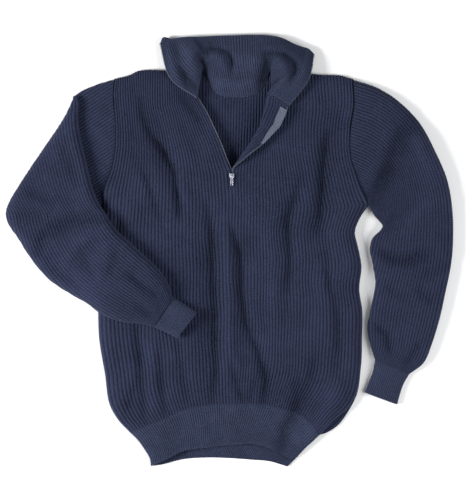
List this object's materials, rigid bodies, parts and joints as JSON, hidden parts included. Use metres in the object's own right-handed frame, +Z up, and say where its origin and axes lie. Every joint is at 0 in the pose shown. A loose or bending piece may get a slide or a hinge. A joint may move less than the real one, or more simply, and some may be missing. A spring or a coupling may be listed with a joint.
{
  "type": "half-zip sweater",
  "caption": "Ribbed long-sleeved pullover with a half zip and a stand-up collar, laid flat with one sleeve folded across the body.",
  "frame": {"origin": "middle of the garment's outline on the surface it lies on", "axes": "+X from the folded sleeve towards the straight one, +Y from the hem to the neck, +Z up off the surface"},
  "size_m": [0.808, 0.7801, 0.0486],
  "materials": {
    "body_knit": "matte rib knit, navy",
    "fine_rib": "matte fine rib knit, navy",
    "zip_tape": "woven tape, grey-blue",
    "zip_metal": "polished"
  },
  "bodies": {
    "garment": {"front": "body_knit", "back": "body_knit", "sleeve_right": "body_knit", "sleeve_left_cap": "body_knit", "sleeve_left_upper": "body_knit", "sleeve_left_forearm": "body_knit", "waistband_front": "fine_rib", "waistband_back": "fine_rib", "cuff_right": "fine_rib", "cuff_left": "fine_rib", "collar": "fine_rib", "zip_tape_left": "zip_tape", "zip_tape_right": "zip_tape", "zip_slider": "zip_metal"},
    "pull": {"zip_pull": "zip_metal"}
  },
  "joints": [
    {"name": "pull_hinge", "type": "hinge", "parent": "garment", "child": "pull", "pos_m": [0.004, 0.135, 0.02449], "axis": [-1, 0, 0], "range_deg": [0, 150]}
  ]
}
